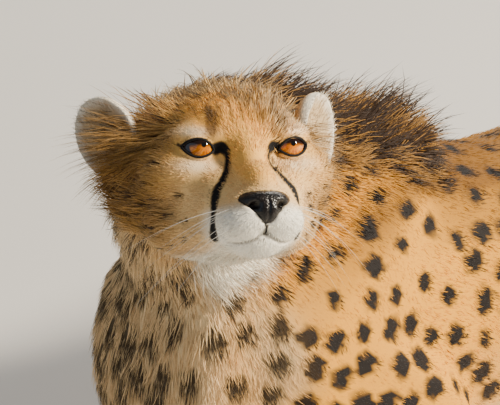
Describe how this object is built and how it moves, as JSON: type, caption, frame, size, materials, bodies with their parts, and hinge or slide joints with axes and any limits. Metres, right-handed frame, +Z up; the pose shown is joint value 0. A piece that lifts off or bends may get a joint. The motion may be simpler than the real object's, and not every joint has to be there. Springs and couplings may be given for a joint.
{
  "type": "life-size cheetah model, lying with raised head",
  "caption": "Still life-size cheetah lying on its breast, forelegs forward, hind legs folded, head raised and turned to its left, tail curved on the floor.",
  "frame": {"origin": "middle of the bounding box, on the floor", "axes": "+Z up, the body faces -Y, the animal's left is +X"},
  "size_m": [0.5744, 1.3954, 0.4664],
  "materials": {
    "coat": "short tawny fur with solid black spots, pale throat and belly, and a grey-buff mane",
    "nose": "moist black nose leather",
    "eye": "wet amber eye with a dark rim",
    "claw": "smooth dark horn"
  },
  "bodies": {
    "root": {"head": "coat", "neck": "coat", "chest": "coat", "belly": "coat", "hips": "coat", "nose": "nose", "eye_left": "eye", "ear_left": "coat", "shoulder_left": "coat", "upper_arm_left": "coat", "forearm_left": "coat", "forepaw_left": "coat", "dewclaw_left": "claw", "thigh_left": "coat", "shank_left": "coat", "hind_foot_left": "coat", "hind_paw_left": "coat", "claw_fore_left_1": "claw", "claw_hind_left_1": "claw", "claw_fore_left_2": "claw", "claw_hind_left_2": "claw", "claw_fore_left_3": "claw", "claw_hind_left_3": "claw", "claw_fore_left_4": "claw", "claw_hind_left_4": "claw", "eye_right": "eye", "ear_right": "coat", "shoulder_right": "coat", "upper_arm_right": "coat", "forearm_right": "coat", "forepaw_right": "coat", "dewclaw_right": "claw", "thigh_right": "coat", "shank_right": "coat", "hind_foot_right": "coat", "hind_paw_right": "coat", "claw_fore_right_1": "claw", "claw_hind_right_1": "claw", "claw_fore_right_2": "claw", "claw_hind_right_2": "claw", "claw_fore_right_3": "claw", "claw_hind_right_3": "claw", "claw_fore_right_4": "claw", "claw_hind_right_4": "claw", "tail_root": "coat", "tail_upper": "coat", "tail_lower": "coat", "tail_tip": "coat"}
  },
  "joints": []
}
